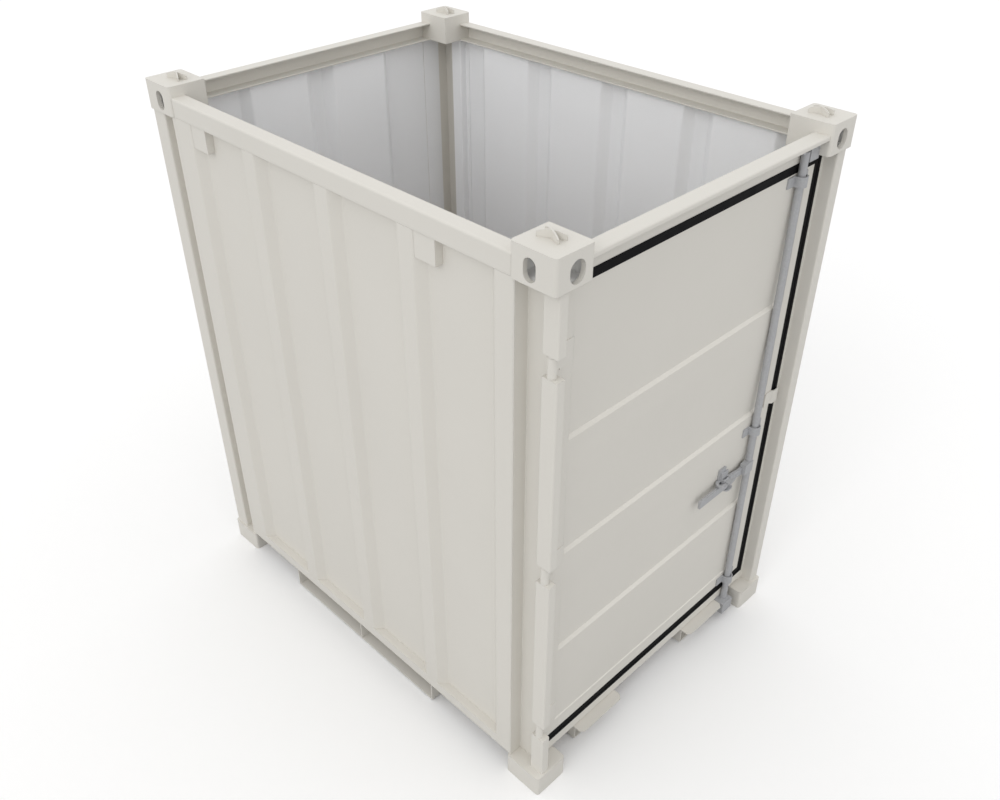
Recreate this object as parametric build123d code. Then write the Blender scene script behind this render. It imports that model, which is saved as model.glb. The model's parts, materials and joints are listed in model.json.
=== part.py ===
from build123d import *
import os

# A small open-topped steel container, built panel by panel.
# Lengths in mm. The origin is on the ground under the middle, +Z is up,
# the door is in the -Y end and +X is to the right seen from the door end.

# Overall size
width = 1600
length = 2200
height = 2430

# Corner castings and feet
casting_x = 162
casting_y = 178
casting_z = 118
casting_wall = 18
casting_floor = 10
corner_radius = 14
side_slot_wide = 48
end_slot_wide = 64
slot_high = 76
slot_drop = 67.5
slot_from_side = 89
slot_from_end = 100
foot_z = 103
foot_wall = 14
foot_hole_x = 63
foot_hole_y = 124
foot_hole_chamfer = 18

# Stacking crosses on the castings
cross_length = 90
cross_thick = 6
cross_end_high = 15
cross_mid_high = 26
cross_angle = 25

# Sheet and profile thicknesses, with the radius of a fold at mid thickness
sheet = 3
plate = 5
fold_radius = 5

# Rails
rail_inset = 8
top_rail_high = 75
top_rail_deep = 60
bottom_rail_high = 57
bottom_rail_deep = 75

# Corrugated walls: distance from each end to the first ridge, and the ridge
side_ridges = 5
side_first = 43
side_last = 67
rear_ridges = 3
rear_first = 202
wave_ridge = 68
wave_flank = 40
wave_deep = 36
wave_radius = 15

# Rear corner posts
post_lip = 25
post_recess = 63
post_recess_deep = 36

# Door end frame
door_plane = 68
jamb_deep = 62
sill_high = 63
header_drop = 41
header_high = 96
header_lip_inset = 10
header_lip_high = 17
header_fold = 6
lock_jamb_inset = 91
lock_step_x = 26
lock_face_inset = 14
hinge_jamb_inset = 83
hinge_plate_inset = 66
wall_end = 163

# Hinge tube, notches, pins and straps
pin_from_side = 45
pin_from_front = 43
tube_from_side = 50
tube_from_front = 40
tube_x = 38
tube_y = 62
tube_radius = 5
notch_count = 3
notch_from_foot = 209
notch_from_top = 220
notch_high = 80
pin_radius = 7
running_gap = 0.3
barrel_radius = 15
strap_thick = 10
strap_high = 70
strap_bend = 96
strap_far = 168
leaf_high = 84
leaf_arc_share = 0.5
leaf_crown_share = 0.4

# Door leaf
seal_gap = 5
seal_side = 30
seal_top = 27
seal_bottom = 34
seal_deep = 25
door_skin = 3
rim_wide = 40
rim_edge = 20
rim_deep = 40
press_deep = 12
low_press_deep = 4
press_side = 46
press_top = 45
ledge_shares = (0.727, 0.48, 0.2355, 0.0314)
rib_high = 100

# Lock bar, keepers and guides
bar_from_side = 241
bar_inset = 51
bar_radius = 15
bar_end_gap = 0.5
bar_top_drop = 44
keeper_left = 49
keeper_right = 25
keeper_high = 62
keeper_deep = 100
keeper_wall = 6
keeper_front = 18
keeper_gap = 5
top_keeper_high = 84
top_keeper_front = 40
prong_left = 54
prong_high = 44
prong_chamfer = 24
guide_edge = 6
guide_rib_edge = 5
guide_high = 40
guide_wall = 6
guide_gap = 4
guide_ear = 40
guide_ear_thick = 6

# Handle, catch and latch, with heights above the ledge below them
hub_left = 48
hub_right = 10
hub_front = 18
hub_back = 10
hub_rise = 208
hub_high = 54
handle_length = 317
handle_front = 48
handle_thick = 11
handle_rise = 210
handle_high = 36
handle_straight = 25
handle_dip_end = 87
handle_dip = 8
handle_grip_start = 119
handle_grip_front = 40
handle_bend = 15
catch_from_bar = 206
catch_wide = 44
catch_front = 61
catch_rise = 192
catch_high = 118
shelf_shift = 27
shelf_wide = 55
shelf_thick = 6
shelf_front = 33
shelf_round = 20
pivot_shift = 6
pivot_wide = 47
pivot_thick = 7
pivot_rise = 251
pivot_high = 41
ear_thick = 6
ear_front = 5
ear_reach = 8
hook_back = 62
hook_reach = 27
hook_corner = 14
hook_front = 27
hook_lean = 5
hook_tip = 5
hook_wide = 14
hook_thick = 6
hook_bend = 9
latch_axis_inset = 46
latch_axis_rise = 256
latch_thick = 6
latch_barrel = 5
latch_pin = 3
latch_front = 13
latch_shoulder = 31
latch_nose = 20
latch_nose_reach = 11
latch_tip_reach = 48

# Door stop tab
tab_drop = 11
tab_high = 66
tab_thick = 5
tab_from_side = 87
tab_wide = 86
tab_flat = 44
tab_slope = 8
tab_step = 8
tab_bend = 6

# Fork pockets and lips
pocket_low = 8
side_pocket_wide = 499
side_pocket_shift = 51
front_pocket_wide = 238
front_pocket_gap = 12
lip_over = 14
lip_front = 20
lip_chamfer = 17
lip_keeper_gap = 2

# Floor
floor_thick = 21
beam_wide = 50
beam_count = 5

# Vents
vent_wide = 106
vent_high = 96
vent_ridges = (1, 4)
vent_sunk = 5

left, right = -width / 2, width / 2
front, back = -length / 2, length / 2
half_plate = plate / 2
rail_top = foot_z + bottom_rail_high
frame_top = height - casting_z
header_top = height - header_drop
header_low = header_top - header_high
sill_low = foot_z + plate
sill_top = sill_low + sill_high
door_y = front + door_plane
jamb_left = left + hinge_jamb_inset
jamb_right = right - lock_jamb_inset
pin_x, pin_y = left + pin_from_side, front + pin_from_front
tube_mid_x, tube_mid_y = left + tube_from_side, front + tube_from_front
bar_x, bar_y = right - bar_from_side, front + bar_inset
leaf_x = (jamb_left + seal_gap + seal_side, jamb_right - seal_gap - seal_side)
leaf_z = (sill_top + seal_gap + seal_bottom, header_low - seal_gap - seal_top)
ledges = [leaf_z[0] + share * (leaf_z[1] - leaf_z[0]) for share in ledge_shares]
lock_ledge = ledges[2]
lock_press_top = ledges[1] - rib_high


def block(x, y, z):
    """A box from three (low, high) pairs."""
    sizes = [high - low for low, high in (x, y, z)]
    middle = [(high + low) / 2 for low, high in (x, y, z)]
    return Pos(*middle) * Box(*sizes)


def post(x, y, radius, low, high):
    return Pos(x, y, (low + high) / 2) * Cylinder(radius, high - low)


def fuse(shapes):
    whole = shapes[0]
    for shape in shapes[1:]:
        whole = whole + shape
    return whole


def mirrored(shape):
    return mirror(shape, about=Plane.YZ)


def turned(shape):
    return mirror(shape, about=Plane.XZ)


def front_corners(shape):
    return shape.edges().filter_by(Axis.Z).group_by(Axis.Y)[0]


def upright(face, low, high):
    return extrude(Pos(0, 0, low) * face, high - low, dir=(0, 0, 1))


def folded(points, low, high, thick=plate, radius=fold_radius):
    """An upright plate folded along its centre line."""
    return upright(trace(FilletPolyline(*points, radius=radius), thick), low, high)


def save(name, *shapes):
    solids = [solid for shape in shapes for solid in shape.solids()]
    whole = solids[0] if len(solids) == 1 else Compound(solids)
    export_step(whole, f"parts/{name}.step")


def corner_box(low, high):
    """The block at the front left corner, its three outer upright edges rounded."""
    body = block((left, left + casting_x), (front, front + casting_y), (low, high))
    uprights = body.edges().filter_by(Axis.Z).sort_by_distance((left, front, low))
    return fillet(uprights[:-1], corner_radius)


def casting():
    body = corner_box(frame_top, height)
    wall = casting_wall
    body -= block(
        (left + wall, left + casting_x - wall),
        (front + wall, front + casting_y - wall),
        (frame_top + casting_floor, height - wall),
    )
    slot_z = height - slot_drop
    side = Plane((left, front + slot_from_end, slot_z), x_dir=(0, 0, 1), z_dir=(1, 0, 0))
    end = Plane((left + slot_from_side, front, slot_z), x_dir=(0, 0, 1), z_dir=(0, 1, 0))
    for face, wide in ((side, side_slot_wide), (end, end_slot_wide)):
        body -= extrude(face * SlotOverall(slot_high, wide), wall, dir=face.z_dir)
    return body


def cross():
    """Two arched plates set crosswise on the casting."""
    half = cross_length / 2
    outline = Polyline((half, cross_end_high), (half, 0), (-half, 0), (-half, cross_end_high))
    crown = ThreePointArc((-half, cross_end_high), (0, cross_mid_high), (half, cross_end_high))
    arch = extrude(Plane.YZ * make_face(outline + crown), cross_thick / 2, both=True)
    pair = Rot(0, 0, cross_angle) * arch + Rot(0, 0, -cross_angle) * arch
    return Pos(left + slot_from_side, front + slot_from_end, height) * pair


def foot():
    body = corner_box(0, foot_z)
    wall = foot_wall
    body -= block(
        (left + wall, left + casting_x - wall),
        (front + wall, front + casting_y - wall),
        (wall, foot_z - wall),
    )
    hole = Pos(0, 0, wall / 2) * Box(foot_hole_x, foot_hole_y, wall)
    hole = chamfer(hole.edges().filter_by(Axis.Z), foot_hole_chamfer)
    return body - Pos(left + slot_from_side, front + slot_from_end, 0) * hole


def channel(web, reach, low, high, run, along):
    """A folded channel, its web at the outer face and both flanges inward."""
    middle = web + half_plate if reach > web else web - half_plate
    bottom, top = low + half_plate, high - half_plate
    line = FilletPolyline((reach, bottom), (middle, bottom), (middle, top), (reach, top), radius=fold_radius)
    section = trace(line, plate)
    if along == "y":
        return extrude(Pos(0, run[0], 0) * (Plane.XZ * section), run[1] - run[0], dir=(0, 1, 0))
    return extrude(Pos(run[0], 0, 0) * (Plane.YZ * section), run[1] - run[0], dir=(1, 0, 0))


def spread(low, high, count):
    """Even places from low to high."""
    return [low + (high - low) * i / (count - 1) for i in range(count)]


def wave(start, end, places):
    """The corrugation as (along, in) points, a ridge at each end."""
    half = wave_ridge / 2
    points = [(start, 0)]
    for here, there in zip(places, places[1:]):
        down, up = here + half, there - half
        points += [(down, 0), (down + wave_flank, wave_deep), (up - wave_flank, wave_deep), (up, 0)]
    return points + [(end, 0)]


side_run = (front + wall_end + plate, back - casting_y)
end_run = (left + casting_x, right - casting_x)
side_places = spread(side_run[0] + side_first, side_run[1] - side_last, side_ridges)
rear_places = spread(end_run[0] + rear_first, end_run[1] - rear_first, rear_ridges)


def side_wall():
    face = left + rail_inset + sheet / 2
    points = [(face + deep, y) for y, deep in wave(*side_run, side_places)]
    return folded(points, rail_top, frame_top, sheet, wave_radius)


def rear_wall():
    face = back - rail_inset - sheet / 2
    points = [(x, face - deep) for x, deep in wave(*end_run, rear_places)]
    return folded(points, rail_top, frame_top, sheet, wave_radius)


def rear_post():
    """Beside the wall a lip, then a recess, then round the corner."""
    outer_x = left + rail_inset + half_plate
    outer_y = back - rail_inset - half_plate
    inner_x = outer_x + post_recess_deep
    first = back - casting_y
    second = first + post_lip
    third = second + post_recess
    path = [
        (outer_x, first),
        (outer_x, second),
        (inner_x, second),
        (inner_x, third),
        (outer_x, third),
        (outer_x, outer_y),
        (left + casting_x, outer_y),
    ]
    return folded(path, foot_z, frame_top)


def hinge_post():
    """The jamb, the plate behind the hinge tube and the recess beside the wall."""
    jamb, recess = jamb_left - half_plate, left + hinge_plate_inset + half_plate
    face = tube_mid_y + tube_y / 2 + half_plate
    end = front + wall_end + half_plate
    path = [
        (jamb, door_y + jamb_deep),
        (jamb, face),
        (recess, face),
        (recess, end),
        (left + rail_inset, end),
    ]
    return folded(path, foot_z, frame_top)


def lock_post():
    """The jamb, the strip beside the seal, the step and the front face."""
    jamb, step = jamb_right + half_plate, jamb_right + lock_step_x + half_plate
    face = front + lock_face_inset + half_plate
    outer = right - rail_inset - half_plate
    path = [
        (jamb, door_y + jamb_deep),
        (jamb, door_y + half_plate),
        (step, door_y + half_plate),
        (step, face),
        (outer, face),
        (outer, front + wall_end + plate),
    ]
    return folded(path, foot_z, frame_top)


notches = spread(foot_z + notch_from_foot, frame_top - notch_from_top - notch_high, notch_count)


def hinge_tubes():
    lows = [foot_z] + [low + notch_high for low in notches]
    highs = notches + [frame_top]
    tubes = []
    for low, high in zip(lows, highs):
        bar = Pos(tube_mid_x, tube_mid_y, (low + high) / 2) * Box(tube_x, tube_y, high - low)
        tubes.append(fillet(front_corners(bar), tube_radius))
    return tubes


def hinge_pins():
    return [post(pin_x, pin_y, pin_radius, low, low + notch_high) for low in notches]


def strap_leaf():
    """The plan of a strap on the door face, its end rounded off into the face."""
    near, far = left + strap_bend, left + strap_far
    face = door_y - strap_thick
    crown = (near + (far - near) * leaf_arc_share, door_y - strap_thick * leaf_crown_share)
    sides = Polyline((far, door_y), (near, door_y), (near, face))
    return make_face(sides + ThreePointArc((near, face), crown, (far, door_y)))


def hinge_straps():
    straps = []
    near = left + strap_bend
    arm = Polygon(
        (pin_x, pin_y),
        (near, door_y - strap_thick),
        (near, door_y),
        (pin_x, pin_y + barrel_radius),
        align=None,
    )
    for notch in notches:
        middle = notch + notch_high / 2
        low, high = middle - strap_high / 2, middle + strap_high / 2
        strap = post(pin_x, pin_y, barrel_radius, low, high) + upright(arm, low, high)
        strap += upright(strap_leaf(), middle - leaf_high / 2, middle + leaf_high / 2)
        straps.append(strap - post(pin_x, pin_y, pin_radius + running_gap, low, high))
    return straps


def header():
    """Web and bottom flange between the jambs, top flange and lip between the castings."""
    lip_y = front + header_lip_inset
    wide = (jamb_left, jamb_right)
    pieces = [
        block(end_run, (lip_y, lip_y + plate), (header_top - header_lip_high, header_top)),
        block(end_run, (lip_y, door_y + plate), (header_top - plate, header_top)),
        block(end_run, (door_y, door_y + plate), (frame_top, header_top)),
        block(wide, (door_y, door_y + plate), (header_low, frame_top)),
        block(wide, (door_y, door_y + jamb_deep), (header_low, header_low + plate)),
    ]
    body = fuse(pieces)
    lip_edge = body.edges().filter_by(Axis.X).group_by(Axis.Y)[0].sort_by(Axis.Z)[-1]
    return fillet(lip_edge, header_fold)


def sill():
    reach = door_y + jamb_deep
    return channel(door_y, reach, sill_low, sill_top, (jamb_left, jamb_right), "x")


def ring(x, y, z, inner_x, inner_z):
    return block(x, y, z) - block(inner_x, y, inner_z)


def door_gasket():
    x = (jamb_left + seal_gap, jamb_right - seal_gap)
    z = (sill_top + seal_gap, header_low - seal_gap)
    return ring(x, (door_y, door_y + seal_deep), z, leaf_x, leaf_z)


def door_rim():
    inner_x = (leaf_x[0] + rim_wide, leaf_x[1] - rim_wide)
    inner_z = (leaf_z[0] + rim_edge, leaf_z[1] - rim_edge)
    y = (door_y + door_skin, door_y + door_skin + rim_deep)
    return ring(leaf_x, y, leaf_z, inner_x, inner_z)


def recess(x, ledge, top, deep):
    """The hollow of a pressing, deepest at its sloping ledge and flush at its top."""
    deepest = (door_y + deep, ledge + deep)
    outline = Polygon((door_y, ledge), deepest, (door_y, top), align=None)
    return extrude(Pos(x[0], 0, 0) * (Plane.YZ * outline), x[1] - x[0], dir=(1, 0, 0))


def door_panel():
    """A flat skin with four pressings, a flush strip left between each two."""
    x = (leaf_x[0] + press_side, leaf_x[1] - press_side)
    tops = [leaf_z[1] - press_top] + [ledge - rib_high for ledge in ledges]
    deeps = [press_deep] * (len(ledges) - 1) + [low_press_deep]
    pressings = list(zip(ledges, tops, deeps))
    skin = block(leaf_x, (door_y, door_y + door_skin), leaf_z)
    for pressing in pressings:
        skin += Pos(0, door_skin, -door_skin) * recess((x[0] - door_skin, x[1] + door_skin), *pressing)
    for pressing in pressings:
        skin -= recess(x, *pressing)
    return skin


def lock_bar():
    return post(bar_x, bar_y, bar_radius, sill_low + bar_end_gap, header_top - bar_top_drop)


def bottom_keeper():
    """A box under the bar, open below."""
    x = (bar_x - keeper_left, bar_x + keeper_right)
    y = (front + keeper_front, front + keeper_front + keeper_deep)
    low = sill_low - keeper_high
    hollow = block(
        (x[0] + keeper_wall, x[1] - keeper_wall),
        (y[0] + keeper_wall, y[1] - keeper_wall),
        (low, sill_low - keeper_wall),
    )
    return block(x, y, (low, sill_low)) - hollow


def top_keeper():
    """A stop and a shorter prong under the header flange, one each side of the bar."""
    high = header_top - plate
    reach = bar_radius + keeper_gap
    y = (front + top_keeper_front, door_y)
    stop = block((bar_x + reach, end_run[1]), y, (high - top_keeper_high, high))
    prong = block((bar_x - prong_left, bar_x - reach), y, (high - prong_high, high))
    corner = prong.edges().filter_by(Axis.Y).group_by(Axis.X)[0].sort_by(Axis.Z)[0]
    return [stop, chamfer(corner, prong_chamfer)]


def sleeve(radius, low, high):
    """A U round the bar, closed by the door face."""
    x = (bar_x - radius, bar_x + radius)
    nose = post(bar_x, bar_y, radius, low, high) & block(x, (bar_y - radius, bar_y), (low, high))
    return nose + block(x, (bar_y, door_y), (low, high))


def bar_guides():
    inner = bar_radius + guide_gap
    outer = inner + guide_wall
    ear = outer + guide_ear
    lows = (
        leaf_z[0] + guide_edge,
        ledges[1] - rib_high + guide_rib_edge,
        leaf_z[1] - guide_edge - guide_high,
    )
    guides = []
    for low in lows:
        high = low + guide_high
        ears = block((bar_x - ear, bar_x + ear), (door_y - guide_ear_thick, door_y), (low, high))
        guides.append(sleeve(outer, low, high) + ears - sleeve(inner, low, high))
    return guides


def handle_hub():
    low = lock_ledge + hub_rise
    body = block(
        (bar_x - hub_left, bar_x + hub_right), (bar_y - hub_front, bar_y + hub_back), (low, low + hub_high)
    )
    return body - post(bar_x, bar_y, bar_radius, low, low + hub_high)


def lock_handle():
    """A flat bar from the hub, bowed towards the door and then out to the grip."""
    start = bar_x - hub_left
    y = front + handle_front + handle_thick / 2
    grip = front + handle_grip_front + handle_thick / 2
    line = [
        (start, y),
        (start - handle_straight, y),
        (start - handle_dip_end, y + handle_dip),
        (start - handle_grip_start, grip),
        (start - handle_length, grip),
    ]
    low = lock_ledge + handle_rise
    return folded(line, low, low + handle_high, handle_thick, handle_bend)


catch_x = (bar_x - catch_from_bar, bar_x - catch_from_bar + catch_wide)
pivot_x = (catch_x[0] + pivot_shift, catch_x[0] + pivot_shift + pivot_wide)
latch_x = (pivot_x[0] + ear_thick + running_gap, pivot_x[1] - ear_thick - running_gap)
latch_y = front + latch_axis_inset
latch_z = lock_ledge + latch_axis_rise


def across(x, radius):
    """A round bar along X at the latch axis."""
    place = Pos((x[0] + x[1]) / 2, latch_y, latch_z) * Rot(0, 90, 0)
    return place * Cylinder(radius, x[1] - x[0])


def catch_shelf(low, face):
    """The rest under the handle, rounded at the front."""
    x = (catch_x[0] + shelf_shift, catch_x[0] + shelf_shift + shelf_wide)
    plank = block(x, (front + shelf_front, face), (low, low + shelf_thick))
    return fillet(front_corners(plank), shelf_round)


def catch_hook():
    """The bent strip that reaches round the handle from above."""
    side = catch_x[0] - hook_reach
    root, tip = front + hook_back, front + hook_front
    points = [
        (pivot_x[0], root),
        (side + hook_corner, root),
        (side, root - hook_corner),
        (side, tip + hook_lean),
        (catch_x[0] + hook_tip, tip),
    ]
    low = lock_ledge + pivot_rise
    return folded(points, low, low + hook_thick, hook_wide, hook_bend)


def handle_catch():
    """An upright seated in the pressing, with shelf, hook and a forked pivot for the latch."""
    low = lock_ledge + catch_rise
    z = (low, low + catch_high)
    face = front + catch_front
    hollow = recess(catch_x, lock_ledge, lock_press_top, press_deep)
    seat = hollow & block(catch_x, (door_y, door_y + press_deep), z)
    body = block(catch_x, (face, door_y), z) + seat + catch_shelf(low, face) + catch_hook()
    pivot_low = lock_ledge + pivot_rise
    body += block(pivot_x, (face - pivot_thick, face), (pivot_low, pivot_low + pivot_high))
    for ear in (pivot_x[0], pivot_x[1] - ear_thick):
        ear_y = (latch_y - ear_front, face - pivot_thick)
        body += block((ear, ear + ear_thick), ear_y, (latch_z - ear_reach, latch_z + ear_reach))
    return body + across(pivot_x, latch_pin)


def catch_latch():
    """A small plate with a pointed side, hung on the pin between the ears."""
    near, far = latch_x
    outline = Polygon(
        (near, latch_y),
        (near, front + latch_front),
        (far + latch_nose_reach, front + latch_nose),
        (far + latch_tip_reach, front + latch_shoulder),
        (far, front + latch_shoulder),
        (far, latch_y),
        align=None,
    )
    leaf = upright(outline, latch_z - latch_thick / 2, latch_z + latch_thick / 2)
    return leaf + across(latch_x, latch_barrel) - across(latch_x, latch_pin + running_gap)


def door_stop():
    """A joggled plate on the door edge that reaches over the seal."""
    end = right - tab_from_side
    start = end - tab_wide
    on_door = door_y - tab_thick / 2
    low = (leaf_z[0] + leaf_z[1]) / 2 - tab_drop - tab_high / 2
    line = [
        (start, on_door),
        (start + tab_flat, on_door),
        (start + tab_flat + tab_slope, on_door - tab_step),
        (end, on_door - tab_step),
    ]
    return folded(line, low, low + tab_high, tab_thick, tab_bend)


side_pocket_walls = [side_pocket_shift + side_pocket_wide * step for step in (-1, 0, 1)]


def side_pockets():
    """Two fork pockets from side to side that share their middle wall."""
    x = (left + rail_inset, right - rail_inset)
    floor_y = (side_pocket_walls[0], side_pocket_walls[-1] + plate)
    pieces = [block(x, floor_y, (pocket_low, pocket_low + plate))]
    pieces += [block(x, (wall, wall + plate), (pocket_low, foot_z)) for wall in side_pocket_walls]
    return fuse(pieces)


lip_half = front_pocket_wide / 2 + lip_over
front_pocket_mid = bar_x - keeper_left - lip_keeper_gap - lip_half


def front_pocket():
    low, high = front_pocket_mid - front_pocket_wide / 2, front_pocket_mid + front_pocket_wide / 2
    y = (door_y + plate, side_pocket_walls[0] - front_pocket_gap)
    pieces = [block((low, high), y, (pocket_low, pocket_low + plate))]
    for wall in (low, high - plate):
        pieces.append(block((wall, wall + plate), y, (pocket_low, foot_z)))
    return fuse(pieces)


def fork_lip():
    x = (front_pocket_mid - lip_half, front_pocket_mid + lip_half)
    body = block(x, (front + lip_front, door_y + jamb_deep), (foot_z, sill_low))
    return chamfer(front_corners(body), lip_chamfer)


def floor_boards():
    x = (left + rail_inset + bottom_rail_deep, right - rail_inset - bottom_rail_deep)
    y = (door_y + jamb_deep, back - rail_inset - bottom_rail_deep)
    return block(x, y, (rail_top - floor_thick, rail_top))


def floor_beams():
    """Cross members that stand on the lower flanges of the side rails."""
    inset = rail_inset + half_plate + fold_radius
    pitch = (side_run[1] - side_run[0]) / beam_count
    beams = []
    for place in spread(side_run[0] + pitch / 2, side_run[1] - pitch / 2, beam_count):
        y = (place - beam_wide / 2, place + beam_wide / 2)
        beams.append(block((left + inset, right - inset), y, (sill_low, rail_top - floor_thick)))
    return beams


def vents():
    """Shallow boxes filling a hollow of the wall beside a ridge."""
    wall = side_wall()
    outer = left + rail_inset + vent_sunk
    inner = left + rail_inset + wave_deep
    boxes = []
    for index in vent_ridges:
        ridge = side_places[index] - wave_ridge / 2
        body = block((outer, inner), (ridge - vent_wide, ridge), (frame_top - vent_high, frame_top))
        boxes.append((body - wall).solids().sort_by(Axis.X)[0])
    return boxes


def build():
    os.makedirs("parts", exist_ok=True)
    corners = {
        "front_left": lambda shape: shape,
        "front_right": mirrored,
        "rear_left": turned,
        "rear_right": lambda shape: mirrored(turned(shape)),
    }
    for place, move in corners.items():
        save(f"casting_{place}", move(casting()))
        save(f"foot_{place}", move(foot()))
    save("stacking_crosses", *[move(cross()) for move in corners.values()])

    web, rear_web = left + rail_inset, back - rail_inset
    top = (frame_top, frame_top + top_rail_high)
    bottom = (foot_z, rail_top)
    top_run = (front + casting_y, back - casting_y)
    top_rail = channel(web, web + top_rail_deep, *top, top_run, "y")
    bottom_rail = channel(web, web + bottom_rail_deep, *bottom, side_run, "y")
    save("left_top_rail", top_rail)
    save("right_top_rail", mirrored(top_rail))
    save("rear_top_rail", channel(rear_web, rear_web - top_rail_deep, *top, end_run, "x"))
    save("left_bottom_rail", bottom_rail)
    save("right_bottom_rail", mirrored(bottom_rail))
    save("rear_bottom_rail", channel(rear_web, rear_web - bottom_rail_deep, *bottom, end_run, "x"))
    save("left_wall", side_wall())
    save("right_wall", mirrored(side_wall()))
    save("rear_wall", rear_wall())
    save("rear_left_post", rear_post())
    save("rear_right_post", mirrored(rear_post()))
    save("hinge_post", hinge_post())
    save("hinge_tubes", *hinge_tubes())
    save("hinge_pins", *hinge_pins())
    save("lock_post", lock_post())
    save("door_header", header())
    save("door_sill", sill())
    save("top_keeper", *top_keeper())
    save("bottom_keeper", bottom_keeper())
    save("side_fork_pockets", side_pockets())
    save("front_fork_pockets", front_pocket(), mirrored(front_pocket()))
    save("fork_lips", fork_lip(), mirrored(fork_lip()))
    save("floor_boards", floor_boards())
    save("floor_beams", *floor_beams())
    save("left_vents", *vents())
    save("right_vents", *[mirrored(vent) for vent in vents()])

    save("door_panel", door_panel())
    save("door_rim", door_rim())
    save("door_gasket", door_gasket())
    save("hinge_straps", *hinge_straps())
    save("bar_guides", *bar_guides())
    save("handle_catch", handle_catch())
    save("door_stop", door_stop())
    save("lock_bar", lock_bar())
    save("handle_hub", handle_hub())
    save("lock_handle", lock_handle())
    save("catch_latch", catch_latch())


build()
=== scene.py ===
"""Looks of a small open-topped steel container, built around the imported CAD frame.

Lengths are in metres, in the frame of the CAD part: the origin is on the ground
under the middle, +Z is up and the door is in the -Y end.
"""
import json
import math

import bmesh
import bpy
from mathutils import Matrix, Vector


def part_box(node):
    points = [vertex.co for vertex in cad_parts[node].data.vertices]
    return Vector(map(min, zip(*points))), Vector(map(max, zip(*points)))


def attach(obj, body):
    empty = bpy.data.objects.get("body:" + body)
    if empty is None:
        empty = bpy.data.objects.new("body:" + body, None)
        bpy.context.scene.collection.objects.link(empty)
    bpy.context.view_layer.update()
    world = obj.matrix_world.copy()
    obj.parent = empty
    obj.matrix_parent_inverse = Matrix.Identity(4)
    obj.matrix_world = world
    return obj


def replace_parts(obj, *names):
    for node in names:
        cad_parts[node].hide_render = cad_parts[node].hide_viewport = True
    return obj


# Camera, from the straight edges of the photograph
CAMERA_PLACE = (-2.547, -2.643, 3.628)
CAMERA_TILT = 54.653
CAMERA_ROLL = 0.06
CAMERA_TURN = -44.881
CAMERA_LENS = 35.315
CAMERA_SENSOR = 36.0

# Light
SKY_LIGHT = 0.965
KEY_FROM = (-0.84, -0.12, 0.53)
KEY_LIGHT = 0.45
KEY_ANGLE = 36.0
FLOOR_SIZE = 160.0
FLOOR_SEEN = 1.0
FLOOR_BOUNCE = 0.60

# Colours, linear
BEIGE = (0.705, 0.682, 0.630)
GREY_INSIDE = (0.890, 0.895, 0.905)
ZINC = (0.440, 0.445, 0.458)
RUBBER = (0.004, 0.004, 0.0045)
# Pale colour of the hollows of the castings, painted light that brightens them.
HOLLOW_PAINTED_LIGHT = (0.950, 0.945, 0.930)
PLYWOOD = (0.290, 0.175, 0.090)
# The dust colour, for the specks of dust and also for the painted shade in the corners.
DUST_AND_SHADE = (0.420, 0.390, 0.330)

# Shading shared by the materials. A range gives where an effect starts and where it is full.
EDGE_RADIUS = 0.003
THIN_EDGE_RADIUS = 0.0005
EDGE_SAMPLES = 4
EDGE_RANGE = (0.995, 0.80)
# Reach, samples and range of the ambient occlusion that masks the painted shade in the corners.
CREVICE_REACH = 0.05
CREVICE_SAMPLES = 6
CREVICE_RANGE = (0.75, 0.25)
FACING_RANGE = (0.02, 0.06)

# Paint detail. Shades are shares of the paint's own colour.
CLOUD_SCALE = 1.7
CLOUD_RANGE = (0.3, 0.7)
CLOUD_SHADES = (0.985, 1.01)
SPECK_SCALE = 75.0
SPECK_RANGE = (0.62, 0.80)
SPECK_DUST = 0.04
# Share of the dust colour painted into the corners as shade.
CREVICE_PAINTED_SHADE = 0.05
EDGE_SHADE = 1.10
EDGE_PALE = 0.15
# How much paler the faces that look up are painted, as painted light.
UP_FACE_PAINTED_LIGHT = 1.075
PAINT_ROUGH_SCALE = SPECK_SCALE / 4
PAINT_ROUGH = (0.42, 0.60)
PEEL_SCALE = 420.0
PEEL_HEIGHT = 0.0004
PEEL_STRENGTH = 0.12

# Zinc detail
ZINC_EDGE_RADIUS = EDGE_RADIUS / 2
ZINC_EDGE_SHADE = 1.3
ZINC_EDGE_PALE = 0.25
CRYSTAL_SCALE = 130.0
CRYSTAL_SHADES = (0.93, 1.07)
STAIN_SCALE = 9.0
STAIN_RANGE = (0.45, 0.75)
STAIN_SHADE = 0.7
STAIN_DARK = 0.06
ZINC_ROUGH = (0.48, 0.62)
ZINC_METALLIC = 0.20
ZINC_GRAIN_SCALE = 260.0
ZINC_GRAIN_HEIGHT = 0.0002
ZINC_GRAIN_STRENGTH = 0.06

# Rubber detail
RUBBER_CLOUD_SCALE = 14.0
RUBBER_CLOUD_RANGE = (0.35, 0.75)
RUBBER_CLOUD_SHADE = 1.6
RUBBER_ROUGH = (0.60, 0.78)
RUBBER_SPECULAR = 0.1
RUBBER_GRAIN_SCALE = 300.0
RUBBER_GRAIN_HEIGHT = 0.0004
RUBBER_GRAIN_STRENGTH = 0.2

# Plywood detail
WOOD_STRETCH = (9.0, 0.9, 9.0)
GRAIN_SCALE = 6.0
GRAIN_DETAIL = 8.0
GRAIN_RANGE = (0.3, 0.7)
GRAIN_SHADES = (0.65, 1.35)
FIBRE_SCALE = 30.0
FIBRE_DETAIL = 4.0
FIBRE_RANGE = (0.5, 0.8)
FIBRE_SHADE = 0.4
FIBRE_DARK = 0.35
FIBRE_HEIGHT = 0.0008
FIBRE_STRENGTH = 0.3
WOOD_ROUGH = (0.55, 0.75)

# Where the grey inside ends on the rear posts, from the middle of the container
GREY_END_X = 0.735
GREY_END_Y = 1.004
GREY_STEP_Y = 0.980
GREY_SOFT = 0.002

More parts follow.
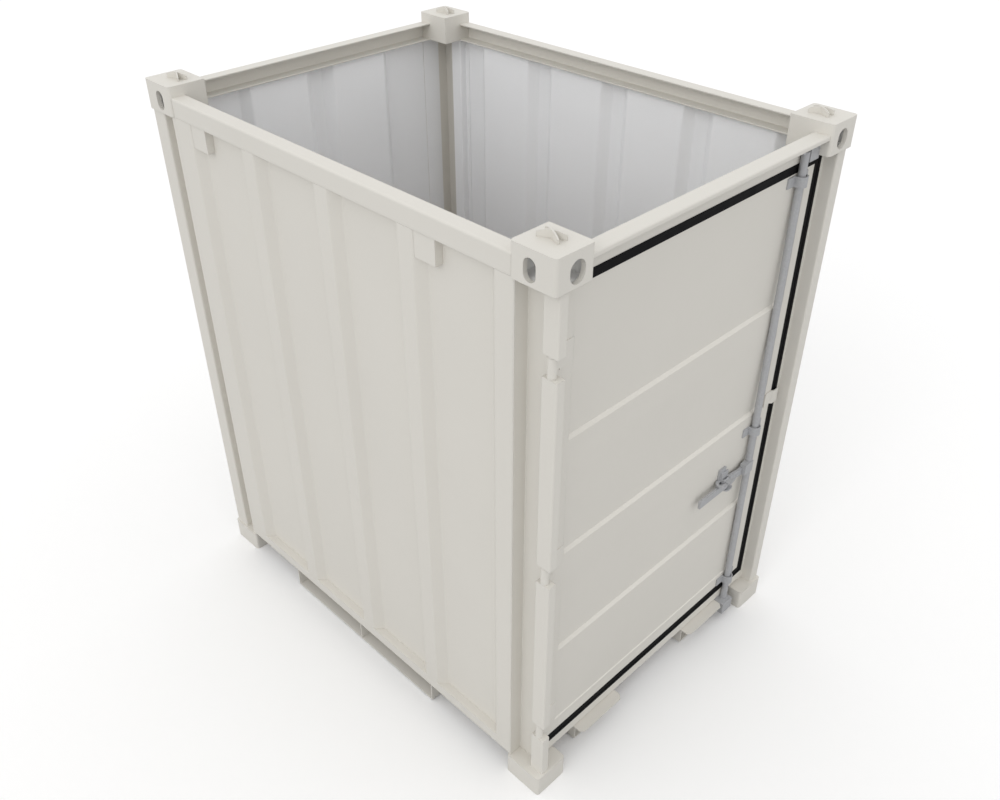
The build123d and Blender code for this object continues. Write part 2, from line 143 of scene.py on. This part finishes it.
# Hollow of a casting, from the middle of the container: its middle and half its size
HOLLOW_MIDDLE = (0.719, 1.011, 2.367)
HOLLOW_HALF = (0.064, 0.072, 0.046)
HOLLOW_RANGE = (1.0, 0.99)

# Rounding of eased boxes
EASE_STEPS = 2

# Floor sheets and their screws
SHEET_GAP = 0.003
SHEET_EDGE = 0.0015
SEAM_BEAMS = (1, 3)
SEAM_SCREWS = 0.016
SCREW_ROW = 9
SCREW_EDGE = 0.045
SCREW_RADIUS = 0.0055
SCREW_TOP_SHARE = 0.8
SCREW_RISE = 0.0012
SCREW_SOCKET_SHARE = 0.55
SCREW_SINK = 0.002
SCREW_SIDES = 16

# Lip of the door seal
LIP_LAP_SIDE = 0.008
LIP_LAP_TOP = 0.004
LIP_LAP_BOTTOM = 0.006
LIP_LAP_SEAL = 0.004
LIP_THICK = 0.0015
LIP_CLEAR = 0.0002

# Strip over the seal on the hinge side of the door
COVER_WIDE = 0.028
COVER_THICK = 0.002
COVER_EASE = 0.0006

# Washers on the hinge pins
WASHER_INNER = 0.0071
WASHER_OUTER = 0.0145
WASHER_HIGH = 0.0047
WASHER_SIDES = 32

# Sealant along the folds of the rails, where the wall sheets meet them
SEAM_REACH = 0.0075
SEAM_SUNK = 0.0003

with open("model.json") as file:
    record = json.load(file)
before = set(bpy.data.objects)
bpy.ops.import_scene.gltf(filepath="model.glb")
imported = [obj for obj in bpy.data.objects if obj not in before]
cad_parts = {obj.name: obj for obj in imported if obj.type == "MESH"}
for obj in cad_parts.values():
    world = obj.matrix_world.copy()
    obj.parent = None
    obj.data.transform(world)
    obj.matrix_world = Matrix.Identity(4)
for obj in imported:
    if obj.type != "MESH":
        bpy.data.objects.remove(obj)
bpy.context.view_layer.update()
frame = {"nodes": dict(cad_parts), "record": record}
nodes = frame["nodes"]


# Node helpers


def put(tree, value, into):
    """Set an input to a value, or link it where a socket is given."""
    if isinstance(value, bpy.types.NodeSocket):
        tree.links.new(value, into)
    else:
        into.default_value = value


def add(tree, kind, inputs=None, **settings):
    """A new node, with its settings and the inputs that are given by name."""
    made = tree.nodes.new(kind)
    for name, value in settings.items():
        setattr(made, name, value)
    for name, value in (inputs or {}).items():
        put(tree, value, made.inputs[name])
    return made


def new_material(name):
    material = bpy.data.materials.new(name)
    material.use_nodes = True
    tree = material.node_tree
    tree.nodes.clear()
    return material, tree


def rgba(colour, share=1.0):
    return tuple(part * share for part in colour) + (1.0,)


def place_of(tree):
    """The place on the object, which stays with it when it moves."""
    return add(tree, "ShaderNodeTexCoord").outputs["Object"]


def noise(tree, place, scale, detail=3.0):
    inputs = {"Vector": place, "Scale": scale, "Detail": detail}
    return add(tree, "ShaderNodeTexNoise", inputs).outputs["Fac"]


def ramp(tree, value, low, high):
    """A value spread from low..high to 0..1, cut off at both ends."""
    inputs = {"Value": value, "From Min": low, "From Max": high}
    return add(tree, "ShaderNodeMapRange", inputs, clamp=True).outputs["Result"]


def mix(tree, share, first, second):
    """A colour between two colours. The node's colours are its inputs 6 and 7 and its output 2."""
    made = add(tree, "ShaderNodeMix", data_type="RGBA")
    for place, value in ((0, share), (6, first), (7, second)):
        put(tree, value, made.inputs[place])
    return made.outputs[2]


def span(tree, value, low, high):
    """A 0..1 value spread over low..high."""
    inputs = {"Value": value, "To Min": low, "To Max": high}
    return add(tree, "ShaderNodeMapRange", inputs).outputs["Result"]


def product(tree, first, second):
    made = add(tree, "ShaderNodeMath", operation="MULTIPLY")
    for into, value in zip(made.inputs, (first, second)):
        put(tree, value, into)
    return made.outputs[0]


def vector(tree, operation, first, second=None, result="Vector"):
    """Vector maths on one or two inputs."""
    made = add(tree, "ShaderNodeVectorMath", operation=operation)
    put(tree, first, made.inputs[0])
    if second is not None:
        put(tree, second, made.inputs[1])
    return made.outputs[result]


def soft_edges(tree, radius):
    """The normal with slightly rounded edges."""
    return add(tree, "ShaderNodeBevel", {"Radius": radius}, samples=EDGE_SAMPLES).outputs["Normal"]


def edge_share(tree, rounded):
    """1 on an edge and 0 on a face, from how far the rounded normal leaves the true one."""
    true_normal = add(tree, "ShaderNodeNewGeometry").outputs["Normal"]
    return ramp(tree, vector(tree, "DOT_PRODUCT", rounded, true_normal, "Value"), *EDGE_RANGE)


def crevice_shade_share(tree):
    """1 deep in a corner and 0 in the open, from the ambient occlusion; it masks the painted shade in
    the corners.
    """
    inputs = {"Distance": CREVICE_REACH}
    hidden = add(tree, "ShaderNodeAmbientOcclusion", inputs, samples=CREVICE_SAMPLES)
    return ramp(tree, hidden.outputs["AO"], *CREVICE_RANGE)


def facing(tree, way):
    """1 where a face looks the given way, 0 where it looks across or away."""
    true_normal = add(tree, "ShaderNodeNewGeometry").outputs["True Normal"]
    return ramp(tree, vector(tree, "DOT_PRODUCT", true_normal, way, "Value"), *FACING_RANGE)


def bumped(tree, height, distance, strength, normal):
    inputs = {"Height": height, "Distance": distance, "Strength": strength, "Normal": normal}
    return add(tree, "ShaderNodeBump", inputs).outputs["Normal"]


def finish_surface(tree, shade, rough, normal, others=None):
    """The shader and the output of a material."""
    inputs = {"Base Color": shade, "Roughness": rough, "Normal": normal, **(others or {})}
    shader = add(tree, "ShaderNodeBsdfPrincipled", inputs)
    add(tree, "ShaderNodeOutputMaterial", {"Surface": shader.outputs["BSDF"]})


# Materials


def painted(tree, colour, edge_radius=EDGE_RADIUS):
    """Sprayed paint: faint clouds, fine specks, paler edges and painted shade in the corners."""
    place = place_of(tree)
    rounded = soft_edges(tree, edge_radius)
    clouds = ramp(tree, noise(tree, place, CLOUD_SCALE), *CLOUD_RANGE)
    shade = mix(tree, clouds, *[rgba(colour, share) for share in CLOUD_SHADES])
    specks = ramp(tree, noise(tree, place, SPECK_SCALE), *SPECK_RANGE)
    shade = mix(tree, product(tree, specks, SPECK_DUST), shade, rgba(DUST_AND_SHADE))
    edges = product(tree, edge_share(tree, rounded), EDGE_PALE)
    shade = mix(tree, edges, shade, rgba(colour, EDGE_SHADE))
    # Painted shade: corners are darkened towards the dust colour where the ambient occlusion finds them.
    shade = mix(tree, product(tree, crevice_shade_share(tree), CREVICE_PAINTED_SHADE), shade, rgba(DUST_AND_SHADE))
    rough = span(tree, noise(tree, place, PAINT_ROUGH_SCALE), *PAINT_ROUGH)
    normal = bumped(tree, noise(tree, place, PEEL_SCALE), PEEL_HEIGHT, PEEL_STRENGTH, rounded)
    return shade, rough, normal


def beige_paint():
    material, tree = new_material("beige_paint")
    finish_surface(tree, *painted(tree, BEIGE))
    return material


def top_lit_paint(name, edge_radius=EDGE_RADIUS):
    """Beige, with painted light: the faces that look up are painted paler."""
    material, tree = new_material(name)
    shade, rough, normal = painted(tree, BEIGE, edge_radius)
    # Painted light: faces that look up get the paler beige.
    shade = mix(tree, facing(tree, (0, 0, 1)), shade, rgba(BEIGE, UP_FACE_PAINTED_LIGHT))
    finish_surface(tree, shade, rough, normal)
    return material


def wall_paint(name, inward):
    """Beige on the outer face of a wall and grey on the inner face."""
    material, tree = new_material(name)
    outer, rough, normal = painted(tree, BEIGE)
    inner, _, _ = painted(tree, GREY_INSIDE)
    shade = mix(tree, facing(tree, inward), outer, inner)
    finish_surface(tree, shade, rough, normal)
    return material


def post_paint(name, inward):
    """Beige, with the grey of the walls carried on over the inner faces up to the corner groove."""
    material, tree = new_material(name)
    outer, rough, normal = painted(tree, BEIGE)
    inner, _, _ = painted(tree, GREY_INSIDE)
    axes = add(tree, "ShaderNodeSeparateXYZ", {"Vector": place_of(tree)}).outputs
    out_from_middle = product(tree, axes["X"], -inward)
    before_x = ramp(tree, out_from_middle, GREY_END_X + GREY_SOFT, GREY_END_X - GREY_SOFT)
    before_y = ramp(tree, axes["Y"], GREY_END_Y + GREY_SOFT, GREY_END_Y - GREY_SOFT)
    on_step = ramp(tree, axes["Y"], GREY_STEP_Y + GREY_SOFT, GREY_STEP_Y - GREY_SOFT)
    shade = mix(tree, product(tree, facing(tree, (inward, 0, 0)), before_y), outer, inner)
    for share in (before_x, on_step):
        shade = mix(tree, product(tree, facing(tree, (0, -1, 0)), share), shade, inner)
    finish_surface(tree, shade, rough, normal)
    return material


def casting_paint():
    """Beige, with a pale colour in the hollow of the casting, painted light that brightens the hollow.
    """
    material, tree = new_material("casting_paint")
    outer, rough, normal = painted(tree, BEIGE)
    off_middle = vector(tree, "SUBTRACT", vector(tree, "ABSOLUTE", place_of(tree)), HOLLOW_MIDDLE)
    reach = vector(tree, "DIVIDE", vector(tree, "ABSOLUTE", off_middle), HOLLOW_HALF)
    axes = add(tree, "ShaderNodeSeparateXYZ", {"Vector": reach}).outputs
    hollow = ramp(tree, axes["X"], *HOLLOW_RANGE)
    for axis in ("Y", "Z"):
        hollow = product(tree, hollow, ramp(tree, axes[axis], *HOLLOW_RANGE))
    # Painted light: the hollow gets the pale colour.
    shade = mix(tree, hollow, outer, rgba(HOLLOW_PAINTED_LIGHT))
    finish_surface(tree, shade, rough, normal)
    return material


def zinc_steel():
    """Dull zinc with its crystals, brushed brighter along the edges."""
    material, tree = new_material("zinc_steel")
    place = place_of(tree)
    rounded = soft_edges(tree, ZINC_EDGE_RADIUS)
    crystals = add(tree, "ShaderNodeTexVoronoi", {"Vector": place, "Scale": CRYSTAL_SCALE})
    grey = add(tree, "ShaderNodeRGBToBW", {"Color": crystals.outputs["Color"]}).outputs["Val"]
    shade = mix(tree, grey, *[rgba(ZINC, share) for share in CRYSTAL_SHADES])
    stains = ramp(tree, noise(tree, place, STAIN_SCALE), *STAIN_RANGE)
    shade = mix(tree, product(tree, stains, STAIN_DARK), shade, rgba(ZINC, STAIN_SHADE))
    edges = product(tree, edge_share(tree, rounded), ZINC_EDGE_PALE)
    shade = mix(tree, edges, shade, rgba(ZINC, ZINC_EDGE_SHADE))
    rough = span(tree, grey, *ZINC_ROUGH)
    grain = noise(tree, place, ZINC_GRAIN_SCALE)
    normal = bumped(tree, grain, ZINC_GRAIN_HEIGHT, ZINC_GRAIN_STRENGTH, rounded)
    finish_surface(tree, shade, rough, normal, {"Metallic": ZINC_METALLIC})
    return material


def seal_rubber():
    """Matt black rubber with faint clouds and a fine grain."""
    material, tree = new_material("seal_rubber")
    place = place_of(tree)
    rounded = soft_edges(tree, EDGE_RADIUS)
    clouds = ramp(tree, noise(tree, place, RUBBER_CLOUD_SCALE), *RUBBER_CLOUD_RANGE)
    shade = mix(tree, clouds, rgba(RUBBER), rgba(RUBBER, RUBBER_CLOUD_SHADE))
    rough = span(tree, clouds, *RUBBER_ROUGH)
    grain = noise(tree, place, RUBBER_GRAIN_SCALE)
    normal = bumped(tree, grain, RUBBER_GRAIN_HEIGHT, RUBBER_GRAIN_STRENGTH, rounded)
    finish_surface(tree, shade, rough, normal, {"Specular IOR Level": RUBBER_SPECULAR})
    return material


def floor_wood():
    """Plywood with its grain along the container."""
    material, tree = new_material("floor_wood")
    stretch = add(tree, "ShaderNodeMapping", {"Vector": place_of(tree), "Scale": WOOD_STRETCH})
    place = stretch.outputs["Vector"]
    grain = noise(tree, place, GRAIN_SCALE, GRAIN_DETAIL)
    fibre = noise(tree, place, FIBRE_SCALE, FIBRE_DETAIL)
    bands = ramp(tree, grain, *GRAIN_RANGE)
    shade = mix(tree, bands, *[rgba(PLYWOOD, share) for share in GRAIN_SHADES])
    streaks = product(tree, ramp(tree, fibre, *FIBRE_RANGE), FIBRE_DARK)
    shade = mix(tree, streaks, shade, rgba(PLYWOOD, FIBRE_SHADE))
    rough = span(tree, grain, *WOOD_ROUGH)
    normal = bumped(tree, fibre, FIBRE_HEIGHT, FIBRE_STRENGTH, soft_edges(tree, EDGE_RADIUS))
    finish_surface(tree, shade, rough, normal)
    return material


def dress(objects, material):
    for piece in objects:
        piece.data.materials.clear()
        piece.data.materials.append(material)


def dress_frame():
    """Each CAD node gets the material of its slot, or a finer one where its faces differ."""
    by_slot = {
        "beige_paint": beige_paint(),
        "zinc_steel": zinc_steel(),
        "seal_rubber": seal_rubber(),
        "floor_wood": floor_wood(),
    }
    for entry in frame["record"]["subparts"]:
        slot = entry["material_slot"]
        if slot in by_slot:
            dress([nodes[entry["node"]]], by_slot[slot])
    inward = {"left_wall": (1, 0, 0), "right_wall": (-1, 0, 0), "rear_wall": (0, -1, 0)}
    for name, way in inward.items():
        dress([nodes[name]], wall_paint(f"wall_paint_{name}", way))
    for name, way in {"rear_left_post": 1, "rear_right_post": -1}.items():
        dress([nodes[name]], post_paint(f"post_paint_{name}", way))
    dress([piece for name, piece in nodes.items() if name.startswith("casting_")], casting_paint())
    # The ledges of the door and the tops of the hinge straps get painted light.
    dress([nodes["door_panel"]], top_lit_paint("door_paint"))
    dress([nodes["hinge_straps"]], top_lit_paint("strap_paint", THIN_EDGE_RADIUS))
    return by_slot


# Pieces beyond the CAD


def add_piece(name, shape, body, slot, materials):
    """A new mesh piece that rides on a CAD body and takes the finish of a slot."""
    mesh = bpy.data.meshes.new(name)
    shape.to_mesh(mesh)
    shape.free()
    piece = bpy.data.objects.new(name, mesh)
    bpy.context.scene.collection.objects.link(piece)
    mesh.materials.append(materials[slot])
    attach(piece, body)
    return piece


def eased_box(shape, low, high, ease):
    """A box with its edges eased, added to a mesh."""
    made = bmesh.ops.create_cube(shape, size=1.0)["verts"]
    bmesh.ops.scale(shape, vec=high - low, verts=made)
    bmesh.ops.translate(shape, vec=(high + low) / 2, verts=made)
    edges = list(dict.fromkeys(edge for vert in made for edge in vert.link_edges))
    bmesh.ops.bevel(shape, geom=edges, offset=ease, segments=EASE_STEPS, profile=0.5, affect="EDGES")


def beam_places():
    """The middle of each floor beam along the container."""
    sides = sorted({round(vert.co.y, 4) for vert in nodes["floor_beams"].data.vertices})
    return [(near + far) / 2 for near, far in zip(sides[::2], sides[1::2])]


def floor_sheets(materials):
    """Plywood sheets that meet over a beam, in place of the plain floor."""
    low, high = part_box("floor_boards")
    places = beam_places()
    joints = [places[index] for index in SEAM_BEAMS]
    starts = [low.y] + [joint + SHEET_GAP / 2 for joint in joints]
    ends = [joint - SHEET_GAP / 2 for joint in joints] + [high.y]
    shape = bmesh.new()
    for start, end in zip(starts, ends):
        eased_box(shape, Vector((low.x, start, low.z)), Vector((high.x, end, high.z)), SHEET_EDGE)
    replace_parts(add_piece("floor_sheets", shape, "container", "floor_wood", materials), "floor_boards")


def screw(shape, place):
    """A low screw head with a sunk socket."""
    made = bmesh.ops.create_cone(
        shape,
        cap_ends=True,
        segments=SCREW_SIDES,
        radius1=SCREW_RADIUS,
        radius2=SCREW_RADIUS * SCREW_TOP_SHARE,
        depth=SCREW_RISE,
        matrix=Matrix.Translation(place),
    )["verts"]
    faces = dict.fromkeys(face for vert in made for face in vert.link_faces)
    top = max(faces, key=lambda face: face.calc_center_median().z)
    rim = SCREW_RADIUS * SCREW_TOP_SHARE * (1 - SCREW_SOCKET_SHARE)
    bmesh.ops.inset_individual(shape, faces=[top], thickness=rim)
    bmesh.ops.inset_individual(shape, faces=[top], thickness=rim / 2, depth=-SCREW_SINK)


def floor_screws(materials):
    """Rows of screws over each beam, on both sides of a joint between sheets."""
    low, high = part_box("floor_boards")
    first, last = low.x + SCREW_EDGE, high.x - SCREW_EDGE
    shape = bmesh.new()
    for index, place in enumerate(beam_places()):
        rows = (-SEAM_SCREWS, SEAM_SCREWS) if index in SEAM_BEAMS else (0.0,)
        for row in rows:
            for step in range(SCREW_ROW):
                x = first + (last - first) * step / (SCREW_ROW - 1)
                screw(shape, Vector((x, place + row, high.z + SCREW_RISE / 2)))
    add_piece("floor_screws", shape, "container", "zinc_steel", materials)


def join_loops(shape, loops):
    """Faces from each loop of points to the next, and from the last to the first."""
    for here, there in zip(loops, loops[1:] + loops[:1]):
        for step in range(len(here)):
            ahead = (step + 1) % len(here)
            shape.faces.new((here[step], here[ahead], there[ahead], there[step]))
    bmesh.ops.recalc_face_normals(shape, faces=shape.faces)


def frame_ring(shape, outer, inner, near, far):
    """A level-sided ring between two rectangles in X and Z, from near to far in Y."""
    loops = []
    for (x0, z0, x1, z1), y in ((outer, near), (inner, near), (inner, far), (outer, far)):
        corners = ((x0, y, z0), (x1, y, z0), (x1, y, z1), (x0, y, z1))
        loops.append([shape.verts.new(corner) for corner in corners])
    join_loops(shape, loops)


def seal_lip(materials):
    """The thin lip of the door seal, which lies over the edge of the frame on three sides."""
    low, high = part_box("door_gasket")
    jamb_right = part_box("lock_post")[0].x + LIP_LAP_SIDE
    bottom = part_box("door_sill")[1].z - LIP_LAP_BOTTOM
    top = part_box("door_header")[0].z + LIP_LAP_TOP
    outer = (low.x, bottom, jamb_right, top)
    inner = (low.x + LIP_LAP_SEAL, low.z + LIP_LAP_SEAL, high.x - LIP_LAP_SEAL, high.z - LIP_LAP_SEAL)
    shape = bmesh.new()
    frame_ring(shape, outer, inner, low.y - LIP_CLEAR - LIP_THICK, low.y - LIP_CLEAR)
    add_piece("seal_lip", shape, "door", "seal_rubber", materials)


def seal_cover(materials):
    """The painted strip that holds the seal on the hinge side of the door."""
    edge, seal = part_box("door_panel")[0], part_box("door_gasket")
    low = Vector((edge.x - COVER_WIDE, seal[0].y - COVER_THICK, seal[0].z))
    high = Vector((edge.x, seal[0].y, seal[1].z))
    shape = bmesh.new()
    eased_box(shape, low, high, COVER_EASE)
    add_piece("seal_cover", shape, "door", "beige_paint", materials)


def ring_round(shape, x, y, inner, outer, low, high):
    """An upright ring of square section."""
    turns = [2 * math.pi * step / WASHER_SIDES for step in range(WASHER_SIDES)]
    loops = []
    for radius, z in ((inner, low), (outer, low), (outer, high), (inner, high)):
        circle = [(x + radius * math.cos(turn), y + radius * math.sin(turn), z) for turn in turns]
        loops.append([shape.verts.new(place) for place in circle])
    join_loops(shape, loops)


def hinge_washers(materials):
    """A washer above and below each hinge barrel."""
    low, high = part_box("hinge_pins")
    x, y = (low.x + high.x) / 2, (low.y + high.y) / 2
    ends = sorted({round(vert.co.z, 4) for vert in nodes["hinge_pins"].data.vertices})
    shape = bmesh.new()
    for bottom, top in zip(ends[::2], ends[1::2]):
        ring_round(shape, x, y, WASHER_INNER, WASHER_OUTER, bottom, bottom + WASHER_HIGH)
        ring_round(shape, x, y, WASHER_INNER, WASHER_OUTER, top - WASHER_HIGH, top)
    add_piece("hinge_washers", shape, "container", "beige_paint", materials)


def prism(shape, section, start, end):
    """A section carried in a straight line, closed at both ends."""
    near = [shape.verts.new(place + start) for place in section]
    far = [shape.verts.new(place + end) for place in section]
    for step in range(len(section)):
        ahead = (step + 1) % len(section)
        shape.faces.new((near[step], near[ahead], far[ahead], far[step]))
    shape.faces.new(near)
    shape.faces.new(far)
    bmesh.ops.recalc_face_normals(shape, faces=shape.faces)


def rail_seams(materials):
    """Sealant in the fold of each rail, under the top rails and over the bottom rails."""
    sides = {"left": (1, 0, 0), "right": (-1, 0, 0), "rear": (0, -1, 0)}
    shape = bmesh.new()
    for level, pick, way in (("top", 0, 1), ("bottom", 1, -1)):
        for side, direction in sides.items():
            low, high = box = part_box(f"{side}_{level}_rail")
            inward = Vector(direction)
            edge_z = box[pick].z + SEAM_SUNK * way
            if side == "rear":
                base = Vector((0, high.y, edge_z))
                start, end = Vector((low.x, 0, 0)), Vector((high.x, 0, 0))
            else:
                base = Vector((low.x if side == "left" else high.x, 0, edge_z))
                start, end = Vector((0, low.y, 0)), Vector((0, high.y, 0))
            base += inward * SEAM_SUNK
            section = [base, base + inward * SEAM_REACH, base + Vector((0, 0, SEAM_REACH * way))]
            prism(shape, section, start, end)
    add_piece("rail_seams", shape, "container", "beige_paint", materials)


# Stage


def make_floor():
    """A pale floor that shows white to the camera and keeps the shadow."""
    mesh = bpy.data.meshes.new("floor")
    shape = bmesh.new()
    bmesh.ops.create_grid(shape, x_segments=1, y_segments=1, size=FLOOR_SIZE / 2)
    shape.to_mesh(mesh)
    shape.free()
    floor = bpy.data.objects.new("floor", mesh)
    bpy.context.scene.collection.objects.link(floor)
    material, tree = new_material("floor_white")
    path = add(tree, "ShaderNodeLightPath").outputs["Is Camera Ray"]
    colour = mix(tree, path, rgba((FLOOR_BOUNCE,) * 3), rgba((FLOOR_SEEN,) * 3))
    shader = add(tree, "ShaderNodeBsdfDiffuse", {"Color": colour})
    add(tree, "ShaderNodeOutputMaterial", {"Surface": shader.outputs["BSDF"]})
    floor.data.materials.append(material)


def make_sun(name, source, strength, angle):
    lamp = bpy.data.lights.new(name, "SUN")
    lamp.energy = strength
    lamp.angle = math.radians(angle)
    sun = bpy.data.objects.new(name, lamp)
    sun.rotation_euler = Vector(source).to_track_quat("Z", "Y").to_euler()
    bpy.context.scene.collection.objects.link(sun)


def make_light():
    """An even white sky, and a soft low sun from the left."""
    world = bpy.data.worlds.new("studio")
    world.use_nodes = True
    tree = world.node_tree
    tree.nodes.clear()
    path = add(tree, "ShaderNodeLightPath")
    seen = add(tree, "ShaderNodeMath", operation="MAXIMUM")
    tree.links.new(path.outputs["Is Camera Ray"], seen.inputs[0])
    tree.links.new(path.outputs["Is Glossy Ray"], seen.inputs[1])
    strength = span(tree, seen.outputs[0], SKY_LIGHT, 1.0)
    sky = add(tree, "ShaderNodeBackground", {"Color": (1.0, 1.0, 1.0, 1.0), "Strength": strength})
    add(tree, "ShaderNodeOutputWorld", {"Surface": sky.outputs["Background"]})
    bpy.context.scene.world = world
    make_sun("key_sun", KEY_FROM, KEY_LIGHT, KEY_ANGLE)


def make_camera():
    lens = bpy.data.cameras.new("camera")
    lens.lens = CAMERA_LENS
    lens.sensor_width = CAMERA_SENSOR
    camera = bpy.data.objects.new("camera", lens)
    camera.location = CAMERA_PLACE
    camera.rotation_euler = [math.radians(angle) for angle in (CAMERA_TILT, CAMERA_ROLL, CAMERA_TURN)]
    bpy.context.scene.collection.objects.link(camera)
    bpy.context.scene.camera = camera


bpy.context.scene.view_settings.view_transform = "Standard"
finishes = dress_frame()
floor_sheets(finishes)
floor_screws(finishes)
seal_lip(finishes)
seal_cover(finishes)
hinge_washers(finishes)
rail_seams(finishes)
make_floor()
make_light()
make_camera()
